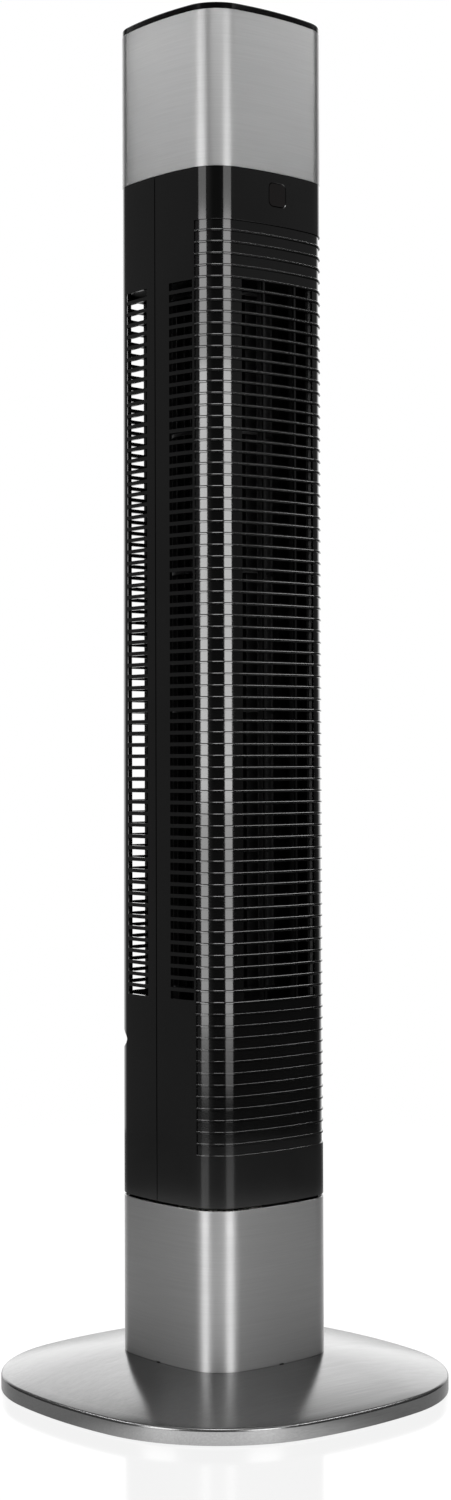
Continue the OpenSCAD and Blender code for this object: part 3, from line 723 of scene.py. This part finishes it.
# ---------- cap and buttons ----------


def buttons():
    """Names of the buttons, which are also the names of their moving bodies."""
    return [name for name in frame["bodies"] if name.startswith("button_")]


def button_middle(name):
    """The middle of a button's box."""
    low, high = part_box(name)
    return (low + high) / 2


def top_cap():
    """Glossy cap: a rim on the sleeve, round a dished floor with the button holes and the lens seat."""
    floor_z = CAP_HIGH.z - DISH_DEPTH
    profile = filleted(
        (
            (DISH_MIDDLE_INSET, HEAD_HIGH.z, 0),
            (CAP_EDGE_INSET, HEAD_HIGH.z, CAP_FOOT_ROUND),
            (CAP_EDGE_INSET, HEAD_HIGH.z + CAP_BAND_START, 0),
            (CAP_EDGE_INSET, CAP_HIGH.z - CAP_BAND_END, 0),
            (CAP_EDGE_INSET, CAP_HIGH.z, CAP_ROUND),
            (DISH_INSET - CAP_RIM_SLOPE, CAP_HIGH.z, CAP_ROUND),
            (DISH_INSET, floor_z, CAP_ROUND),
            (DISH_MIDDLE_INSET, floor_z, 0),
        ),
        steps=6,
    )
    piece = loft("top_cap_skin", COLUMN, COLUMN_HEADINGS, profile, closed=False)
    reach = 5 * MM
    cutters = []
    for name in buttons():
        middle = button_middle(name)
        start = Vector((middle.x, middle.y, HEAD_HIGH.z - reach))
        end = Vector((middle.x, middle.y, CAP_HIGH.z + reach))
        cutters.append(drill(start, end, BUTTON_R + BUTTON_HOLE_GAP, segments=64))
    gap = Vector((FIT_GAP, FIT_GAP, 0))
    seat_high = LENS_HIGH + gap + Vector((0, 0, reach))
    cutters.append(rounded_cutter(LENS_LOW - gap, seat_high, LENS_CORNER, axis=2))
    cut(piece, *cutters)
    round_edges(piece, 0.15 * MM)
    return piece


def push_button(name):
    """A round key with a shallow dished top, a flange that holds it in, and its stem."""
    low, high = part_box(name)
    flange_z = HEAD_HIGH.z - FLANGE_DROP
    profile = [
        (STEM_R, low.z),
        (STEM_R, flange_z - FLANGE_T),
        (FLANGE_R, flange_z - FLANGE_T),
        (FLANGE_R, flange_z),
        (BUTTON_R, flange_z),
        (BUTTON_R, high.z - BUTTON_ROUND),
    ]
    edge_steps, dish_steps = 5, 6
    for k in range(1, edge_steps + 1):
        a = QUARTER * k / edge_steps
        edge_r = BUTTON_R - BUTTON_ROUND * (1 - math.cos(a))
        profile.append((edge_r, high.z - BUTTON_ROUND * (1 - math.sin(a))))
    for k in range(dish_steps):
        a = QUARTER * k / dish_steps
        profile.append((BUTTON_DISH_R * math.cos(a), high.z - BUTTON_DISH_DEPTH * math.sin(a)))
    return lathe(name + "_key", button_middle(name), profile)


# ---------- materials ----------


class Nodes:
    """Short names for building one node tree."""

    def __init__(self, tree):
        self.tree = tree
        self.coordinates = self.add("ShaderNodeTexCoord")

    def add(self, kind, **values):
        """Adds a node and sets its properties."""
        node = self.tree.nodes.new(kind)
        for key, value in values.items():
            setattr(node, key, value)
        return node

    def link(self, start, end):
        """Joins an output socket to an input socket."""
        self.tree.links.new(start, end)

    def map_range(self, value, low, high, to_low=0.0, to_high=1.0, smooth=False):
        """Maps low..high to to_low..to_high, and holds it there outside."""
        kind = "SMOOTHSTEP" if smooth else "LINEAR"
        change = self.add("ShaderNodeMapRange", interpolation_type=kind)
        change.inputs["From Min"].default_value = low
        change.inputs["From Max"].default_value = high
        change.inputs["To Min"].default_value = to_low
        change.inputs["To Max"].default_value = to_high
        self.link(value, change.inputs["Value"])
        return change.outputs["Result"]

    def mix(self, factor, low, high):
        """Goes from low to high with the factor; both are colours or sockets."""
        mix = self.add("ShaderNodeMix", data_type="RGBA")
        self.link(factor, mix.inputs["Factor"])
        for socket, value in ((mix.inputs[6], low), (mix.inputs[7], high)):
            if isinstance(value, tuple):
                socket.default_value = (*value, 1)
            else:
                self.link(value, socket)
        return mix.outputs[2]

    def mix_shaders(self, first, second):
        """A mixer of two shaders, whose factor is still to be set."""
        mixer = self.add("ShaderNodeMixShader")
        self.link(first, mixer.inputs[1])
        self.link(second, mixer.inputs[2])
        return mixer

    def split_for_camera(self, around, seen):
        """Mixes what lights and mirrors things with what the camera sees directly."""
        mixer = self.mix_shaders(around, seen)
        self.link(self.add("ShaderNodeLightPath").outputs["Is Camera Ray"], mixer.inputs["Fac"])
        return mixer.outputs["Shader"]


class Finish(Nodes):
    """The nodes of one material, round its main shader."""

    def __init__(self, name):
        self.material = bpy.data.materials.new(name)
        self.material.use_nodes = True
        super().__init__(self.material.node_tree)
        self.shader = self.tree.nodes["Principled BSDF"]

    def noise(self, scale, stretch=(1, 1, 1), detail=3, rough=0.55):
        """Cloudy noise, which a small stretch value draws out along that axis."""
        mapping = self.add("ShaderNodeMapping")
        mapping.inputs["Scale"].default_value = stretch
        self.link(self.coordinates.outputs["Object"], mapping.inputs["Vector"])
        noise = self.add("ShaderNodeTexNoise")
        noise.inputs["Scale"].default_value = scale
        noise.inputs["Detail"].default_value = detail
        noise.inputs["Roughness"].default_value = rough
        self.link(mapping.outputs["Vector"], noise.inputs["Vector"])
        return noise.outputs["Fac"]

    def wave(self, scale, direction="Z", distortion=0.0):
        """Even bands across the direction, made wavy by the distortion."""
        wave = self.add("ShaderNodeTexWave", bands_direction=direction)
        wave.inputs["Scale"].default_value = scale
        wave.inputs["Distortion"].default_value = distortion
        self.link(self.coordinates.outputs["Object"], wave.inputs["Vector"])
        return wave.outputs["Fac"]

    def cells(self, scale):
        """Small cells, by the distance from each one's middle."""
        cells = self.add("ShaderNodeTexVoronoi")
        cells.inputs["Scale"].default_value = scale
        self.link(self.coordinates.outputs["Object"], cells.inputs["Vector"])
        return cells.outputs["Distance"]

    def spread(self, value, low=0, high=1):
        """Maps a texture's middle range to low..high."""
        return self.map_range(value, 0.3, 0.7, low, high)

    def color(self, factor, low, high):
        """The surface's colour, which goes from low to high with the factor."""
        self.link(self.mix(factor, low, high), self.shader.inputs["Base Color"])

    def roughness(self, factor, low, high):
        """The surface's roughness, which goes from low to high with a texture."""
        self.link(self.spread(factor, low, high), self.shader.inputs["Roughness"])

    def bump(self, height, strength, distance):
        """Small relief from a texture."""
        bump = self.add("ShaderNodeBump")
        bump.inputs["Strength"].default_value = strength
        bump.inputs["Distance"].default_value = distance
        self.link(height, bump.inputs["Height"])
        self.link(bump.outputs["Normal"], self.shader.inputs["Normal"])

    def set(self, **values):
        """Sets the main shader's own values, with underscores for the spaces in their names."""
        for key, value in values.items():
            self.shader.inputs[key.replace("_", " ")].default_value = value


def grey(value, tint=1.0):
    """A grey, made warmer or cooler by the tint of its blue."""
    return (value, value, value * tint)


def brushed_steel(name, low, high, stretch, tangent, rough, anisotropic):
    """Steel with fine brush lines, which blur reflections along the tangent."""
    m = Finish(name)
    lines = m.noise(900, stretch, 4, 0.7)
    streaks = m.noise(260, stretch, 3, 0.6)
    m.color(m.spread(lines), low, high)
    m.roughness(streaks, rough - 0.02, rough + 0.03)
    m.bump(lines, 0.04, 0.01 * MM)
    m.set(Metallic=1.0, Anisotropic=anisotropic)
    direction = m.add("ShaderNodeCombineXYZ")
    for axis, value in zip("XYZ", tangent):
        direction.inputs[axis].default_value = value
    m.link(direction.outputs["Vector"], m.shader.inputs["Tangent"])
    return m.material


def moulded(name, low, high, rough, grain=0.05, grain_scale=2600, shine=0.5, ior=1.5):
    """Injection-moulded plastic: a fine moulded grain and a faint unevenness of gloss."""
    m = Finish(name)
    grain_noise = m.noise(grain_scale, detail=2)
    patches = m.noise(14, detail=4)
    m.color(m.spread(patches), low, high)
    m.roughness(patches, rough - 0.03, rough + 0.04)
    m.bump(grain_noise, grain, 0.05 * MM)
    m.set(Specular_IOR_Level=shine, IOR=ior)
    return m.material


def laminations(name):
    """A stack of thin punched steel sheets."""
    m = Finish(name)
    layers = m.wave(900)
    m.color(layers, grey(0.12, 1.1), grey(0.34, 1.08))
    m.roughness(m.noise(300), 0.35, 0.5)
    m.bump(layers, 0.5, 0.1 * MM)
    m.set(Metallic=1.0)
    return m.material


def copper_wire(name):
    """Turns of lacquered wire, lying unevenly."""
    m = Finish(name)
    turns = m.wave(420, distortion=2.0)
    m.color(turns, (0.28, 0.1, 0.035), (0.72, 0.33, 0.14))
    m.roughness(m.noise(200), 0.25, 0.4)
    m.bump(turns, 0.8, 0.3 * MM)
    m.set(Metallic=1.0)
    return m.material


def plated_steel(name, low, high, rough):
    """Zinc-plated steel with its small crystals."""
    m = Finish(name)
    m.color(m.cells(900), low, high)
    m.roughness(m.noise(140), rough - 0.05, rough + 0.08)
    m.bump(m.noise(1500), 0.08, 0.03 * MM)
    m.set(Metallic=1.0)
    return m.material


def cast_iron(name):
    """Dark iron with the roughness of its sand mould."""
    m = Finish(name)
    sand = m.noise(700, detail=6)
    m.color(m.noise(30), grey(0.05), grey(0.12))
    m.roughness(sand, 0.55, 0.75)
    m.bump(sand, 0.6, 0.4 * MM)
    return m.material


def sintered_bronze(name):
    """Bronze pressed from powder, with fine pores."""
    m = Finish(name)
    pores = m.cells(2400)
    m.color(pores, (0.3, 0.19, 0.07), (0.6, 0.42, 0.2))
    m.roughness(m.noise(400), 0.35, 0.5)
    m.bump(pores, 0.3, 0.05 * MM)
    m.set(Metallic=1.0)
    return m.material


def rubber(name):
    """Matt black rubber with a dusty grain."""
    m = Finish(name)
    grain = m.noise(1800, detail=4)
    m.color(m.noise(60), grey(0.012), grey(0.028))
    m.roughness(grain, 0.7, 0.85)
    m.bump(grain, 0.25, 0.08 * MM)
    return m.material


def circuit_board(name):
    """Green lacquer over tracks that run both ways."""
    m = Finish(name)
    tracks = m.wave(160, "X", 6.0)
    tracks_across = m.wave(130, "Y", 7.0)
    ink = m.mix(m.spread(tracks), (0.008, 0.07, 0.02), (0.02, 0.16, 0.05))
    m.color(m.spread(tracks_across), (0.01, 0.09, 0.03), ink)
    m.roughness(m.noise(90), 0.25, 0.4)
    m.bump(tracks, 0.3, 0.05 * MM)
    return m.material


def smoked_lens(name):
    """Dark red tinted acrylic, polished."""
    m = Finish(name)
    depth = m.noise(40, detail=2)
    m.color(m.spread(depth), (0.002, 0.001, 0.001), (0.003, 0.0015, 0.0015))
    m.roughness(depth, 0.06, 0.1)
    m.bump(m.noise(60), 0.03, 0.02 * MM)
    m.set(Specular_IOR_Level=1.0, IOR=1.6)
    return m.material


def finishes():
    """One material for each slot of the record; tones are its darkest and lightest colours."""
    black = (grey(0.002), grey(0.003))
    plate = dict(stretch=(0.02, 1, 1), tangent=(0, 1, 0), rough=0.18, anisotropic=0.4)
    sheet = dict(stretch=(0.02, 0.02, 1), tangent=(0, 0, 1), rough=0.46, anisotropic=0.85)
    recipes = {
        "brushed_plate": (brushed_steel, (grey(0.23), grey(0.28)), plate),
        "brushed_sleeve": (brushed_steel, (grey(0.53), grey(0.58)), sheet),
        "black_shell": (moulded, black, dict(rough=0.08, grain=0.01, shine=1.0, ior=1.6)),
        "black_cap": (moulded, black, dict(rough=0.12, grain=0.01, shine=0.15)),
        "dark_plastic": (
            moulded, (grey(0.002), grey(0.004)), dict(rough=0.55, grain=0.2, grain_scale=1600)),
        "impeller_plastic": (moulded, (grey(0.002, 1.05), grey(0.004, 1.05)), dict(rough=0.5, grain=0.1)),
        "rubber": (rubber, (), {}),
        "cast_weight": (cast_iron, (), {}),
        "zinc_screw": (plated_steel, (grey(0.45, 1.05), grey(0.62, 1.05)), dict(rough=0.3)),
        "pedestal_plastic": (
            moulded, (grey(0.06), grey(0.085)), dict(rough=0.45, grain=0.2, grain_scale=1200)),
        "acetal": (moulded, ((0.68, 0.67, 0.62), (0.78, 0.77, 0.73)), dict(rough=0.4)),
        "motor_steel": (plated_steel, (grey(0.42, 1.03), grey(0.58, 1.03)), dict(rough=0.33)),
        "core_steel": (laminations, (), {}),
        "copper_winding": (copper_wire, (), {}),
        "bronze": (sintered_bronze, (), {}),
        "circuit_board": (circuit_board, (), {}),
        "board_component": (
            moulded, (grey(0.03), grey(0.06)), dict(rough=0.4, grain=0.1, grain_scale=900)),
        "capacitor_case": (moulded, (grey(0.7, 0.96), grey(0.8, 0.97)), dict(rough=0.3, grain=0.04)),
        "loom": (rubber, (), {}),
        "smoked_lens": (smoked_lens, (), {}),
        "button_plastic": (moulded, (grey(0.012), grey(0.02)), dict(rough=0.3)),
    }
    return {slot: make(slot, *tones, **traits) for slot, (make, tones, traits) in recipes.items()}


def dress(piece, material):
    """Gives a piece its one material."""
    piece.data.materials.clear()
    piece.data.materials.append(material)


# ---------- putting the fan together ----------

MATERIALS = finishes()
NODE_SLOTS = {part["node"]: part["material_slot"] for part in frame["record"]["subparts"]}
BODIES = frame["record"]["behaviour"]["bodies"]
NODE_BODIES = {node: body for body, nodes in BODIES.items() for node in nodes}
# Width of the rounding on the edges of pieces that keep the CAD's own mesh
CAD_ROUNDING = {"ir_window": 0.6 * MM, "display_lens": 0.2 * MM, "outlet_frame": 0.2 * MM}


def stand_for(piece, node):
    """The piece takes a CAD node's place, its motion and its finish."""
    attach(piece, NODE_BODIES[node])
    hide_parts(node)
    dress(piece, MATERIALS[NODE_SLOTS[node]])


def dress_cad_nodes():
    """Finishes on the CAD's own pieces, shaded smooth up to their sharp edges."""
    for name, piece in frame["nodes"].items():
        dress(piece, MATERIALS[NODE_SLOTS[name]])
        piece.data.shade_smooth()
        piece.data.set_sharp_from_angle(angle=SHARP_ANGLE)


dress_cad_nodes()
stand_for(front_shell(), "front_shell")
stand_for(rear_shell(), "rear_shell")
stand_for(head_sleeve(), "head_sleeve")
stand_for(collar(), "collar")
stand_for(base_cover(), "base_cover")
stand_for(top_cap(), "top_cap")
for button in buttons():
    stand_for(push_button(button), button)
for detail, rounding in CAD_ROUNDING.items():
    round_edges(frame["nodes"][detail], rounding, segments=3, angle=40)


# ---------- stage ----------

# Camera: where it stands, the way it looks, its lens in mm and the shift of its image
CAMERA_PLACE = Vector((-1.1924, -1.3756, 0.4575))
CAMERA_HEADING = math.radians(49.55)
CAMERA_PITCH = math.radians(1.187)
CAMERA_ROLL = math.radians(-0.162)
CAMERA_LENS = 59.19
CAMERA_SHIFT = (0.0156, -0.0257)

# The floor: its radius, its brightness to the eye, and the strength and blur of its mirror image
FLOOR_R = 1.3
FLOOR_SEEN = 1.03
FLOOR_MIRROR = 0.14
FLOOR_MIRROR_BLUR = 0.12
# Painted light on the floor, which lights the fan and shows in its reflections: middle, distances where
# it starts and stops fading, and brightness, for a painted glow over the floor, painted shade close to
# the fan and a painted pool of light before it
FLOOR_PAINTED_LIGHT = (
    ((0, 0, 0), (0.6, 0.95), 0.6),
    ((0, 0, 0), (0.3, 0.5), -0.27),
    ((-0.16, -0.19, 0), (0.05, 0.2), 1.3),
)

# The room's brightness at (sine of the elevation, brightness): all round, on its dark side,
# behind the camera and on the backdrop
ROOM_GLOW = ((-1, 0.09), (0.0, 0.08), (0.3, 0.09), (0.6, 0.2), (1, 0.3))
DARK_GLOW = ((-1, 0.02), (-0.05, 0.02), (0.1, 0.06), (0.16, 0.09), (0.3, 0.09), (0.6, 0.2), (1, 0.3))
CAMERA_SIDE_GLOW = ((-1, 0.02), (0.3, 0.02), (0.6, 0.2), (1, 0.3))
BACKDROP_GLOW = ((-0.3, 0.2), (0.0, 1.1), (0.1, 1.7), (0.7, 1.7), (1, 0.3))
# The room's sectors: azimuth, half widths in degrees at full and at no strength, and brightness
ROOM_SECTORS = (
    (math.radians(300), (45, 65), DARK_GLOW),
    (CAMERA_HEADING + math.pi, (14, 28), CAMERA_SIDE_GLOW),
    (CAMERA_HEADING, (25, 45), BACKDROP_GLOW),
)

# Two tall softboxes beside the camera: azimuths in degrees, and layers of (bottom, top, brightness)
STRIP_AZIMUTHS = (("left", 189), ("right", 259))
STRIP_LAYERS = ((0.02, 1.4, 0.9), (0.1, 1.2, 1.6), (0.4, 1.0, 1.9))
STRIP_WIDTH = 0.62
STRIP_DISTANCE = 1.6
LAYER_GAP = 0.02
# Broad panels higher than the fan, which light the steel: (name, azimuth in degrees, brightness)
SIDE_PANELS = (("left", 145, 7.0), ("right", 314, 6.5))


def fading_glow(m, place, fade, glow):
    """Brightness that falls from glow to nothing between the two distances from a place."""
    distance = m.add("ShaderNodeVectorMath", operation="DISTANCE")
    distance.inputs[1].default_value = place
    m.link(m.coordinates.outputs["Object"], distance.inputs[0])
    return m.map_range(distance.outputs["Value"], *fade, glow, 0.0, smooth=True)


def floor_material():
    """Pale acrylic with a faint mirror image; its emission is painted light: a painted glow, painted
    shade close to the fan and a painted pool of light.
    """
    m = Finish("pale_floor")
    patches = m.noise(6, detail=4)
    m.color(m.spread(patches), grey(0.1), grey(0.12))
    m.roughness(patches, 0.4, 0.5)
    m.set(Emission_Color=(1, 1, 1, 1))
    strength = m.shader.inputs["Emission Strength"]
    # Painted light: the painted glow, painted shade and painted pool of light add up to the floor's
    # emission
    for place, fade, brightness in FLOOR_PAINTED_LIGHT:
        total = m.add("ShaderNodeMath", operation="ADD")
        total.inputs[1].default_value = 0.0
        m.link(fading_glow(m, place, fade, brightness), total.inputs[0])
        m.link(total.outputs["Value"], strength)
        strength = total.inputs[1]
    glow = m.add("ShaderNodeEmission")
    glow.inputs["Strength"].default_value = FLOOR_SEEN
    mirror = m.add("ShaderNodeBsdfGlossy")
    mirror.inputs["Roughness"].default_value = FLOOR_MIRROR_BLUR
    sheen = m.mix_shaders(glow.outputs["Emission"], mirror.outputs["BSDF"])
    sheen.inputs["Fac"].default_value = FLOOR_MIRROR
    surface = m.split_for_camera(m.shader.outputs["BSDF"], sheen.outputs["Shader"])
    m.link(surface, m.tree.nodes["Material Output"].inputs["Surface"])
    return m.material


def floor():
    """A round pale floor under the fan."""
    bm = bmesh.new()
    bmesh.ops.create_circle(bm, cap_ends=True, segments=96, radius=FLOOR_R)
    piece = finish_mesh("floor", bm)
    dress(piece, floor_material())


def hang(name, light, place):
    """Puts a light in the scene, facing down."""
    lamp = bpy.data.objects.new(name, light)
    lamp.location = place
    bpy.context.scene.collection.objects.link(lamp)
    return lamp


def softbox(name, azimuth, distance, low_z, high_z, width, glow):
    """An upright soft light that faces the fan from its azimuth; glow is its brightness."""
    light = bpy.data.lights.new(name, "AREA")
    light.shape = "RECTANGLE"
    light.size = width
    light.size_y = high_z - low_z
    light.energy = glow * math.pi * light.size * light.size_y
    middle_z = (low_z + high_z) / 2
    a = math.radians(azimuth)
    lamp = hang(name, light, (distance * math.cos(a), distance * math.sin(a), middle_z))
    aim = Vector((0, 0, middle_z)) - lamp.location
    lamp.rotation_euler = aim.to_track_quat("-Z", "Y").to_euler()


def overhead(power):
    """A weak light straight above the fan."""
    light = bpy.data.lights.new("overhead", "AREA")
    light.size = 1.6
    light.energy = power
    hang("overhead", light, (0, 0, 2.6))


def sky_ramp(n, height, stops):
    """Brightness by elevation; stops are (sine of the elevation, brightness)."""
    ramp = n.add("ShaderNodeValToRGB")
    n.link(n.map_range(height, -1, 1), ramp.inputs["Fac"])
    elements = ramp.color_ramp.elements
    while len(elements) < len(stops):
        elements.new(0.5)
    for element, (sine, value) in zip(elements, stops):
        element.position = (sine + 1) / 2
        element.color = (*grey(value), 1)
    return ramp.outputs["Color"]


def blend_toward(n, azimuth, edges, around, inside):
    """One brightness inside a sector of the room and another around it; edges is its half widths."""
    toward = n.add("ShaderNodeVectorMath", operation="DOT_PRODUCT")
    toward.inputs[1].default_value = (math.cos(azimuth), math.sin(azimuth), 0)
    n.link(n.coordinates.outputs["Generated"], toward.inputs[0])
    full, none = (math.cos(math.radians(edge)) for edge in edges)
    return n.mix(n.map_range(toward.outputs["Value"], none, full, smooth=True), around, inside)


def studio():
    """White to the eye; in reflections a dim room with a bright backdrop behind the fan."""
    world = bpy.data.worlds.new("studio")
    world.use_nodes = True
    world.node_tree.nodes.clear()
    n = Nodes(world.node_tree)
    split = n.add("ShaderNodeSeparateXYZ")
    n.link(n.coordinates.outputs["Generated"], split.inputs["Vector"])
    room = sky_ramp(n, split.outputs["Z"], ROOM_GLOW)
    for azimuth, edges, glow in ROOM_SECTORS:
        room = blend_toward(n, azimuth, edges, room, sky_ramp(n, split.outputs["Z"], glow))
    around = n.add("ShaderNodeBackground")
    n.link(room, around.inputs["Color"])
    seen = n.add("ShaderNodeBackground")
    seen.inputs["Color"].default_value = (1, 1, 1, 1)
    surface = n.split_for_camera(around.outputs["Background"], seen.outputs["Background"])
    n.link(surface, n.add("ShaderNodeOutputWorld").inputs["Surface"])
    bpy.context.scene.world = world


def camera():
    """The camera, turned to its heading, pitch and roll."""
    level_reach = math.cos(CAMERA_PITCH)
    ahead = Vector(
        (
            level_reach * math.cos(CAMERA_HEADING),
            level_reach * math.sin(CAMERA_HEADING),
            math.sin(CAMERA_PITCH),
        )
    )
    level = Vector((math.sin(CAMERA_HEADING), -math.cos(CAMERA_HEADING), 0))
    upright = level.cross(ahead)
    right = math.cos(CAMERA_ROLL) * level + math.sin(CAMERA_ROLL) * upright
    up = -math.sin(CAMERA_ROLL) * level + math.cos(CAMERA_ROLL) * upright
    lens = bpy.data.cameras.new("camera")
    lens.sensor_fit = "VERTICAL"
    lens.sensor_height = 36
    lens.lens = CAMERA_LENS
    lens.shift_x, lens.shift_y = CAMERA_SHIFT
    lens.clip_start = 0.05
    piece = bpy.data.objects.new("camera", lens)
    turn = Matrix((right, up, -ahead)).transposed().to_4x4()
    piece.matrix_world = Matrix.Translation(CAMERA_PLACE) @ turn
    bpy.context.scene.collection.objects.link(piece)
    bpy.context.scene.camera = piece


floor()
studio()
for name, azimuth in STRIP_AZIMUTHS:
    for layer, (low_z, high_z, glow) in enumerate(STRIP_LAYERS):
        distance = STRIP_DISTANCE + LAYER_GAP * layer
        softbox(f"softbox_{name}_{layer}", azimuth, distance, low_z, high_z, STRIP_WIDTH, glow)
for name, azimuth, glow in SIDE_PANELS:
    softbox(f"side_{name}", azimuth, distance=1.6, low_z=1.6, high_z=1.82, width=2.4, glow=glow)
softbox("front", azimuth=229, distance=1.2, low_z=1.9, high_z=3.6, width=0.9, glow=4.0)
overhead(power=3)
camera()
bpy.context.scene.view_settings.view_transform = "Standard"
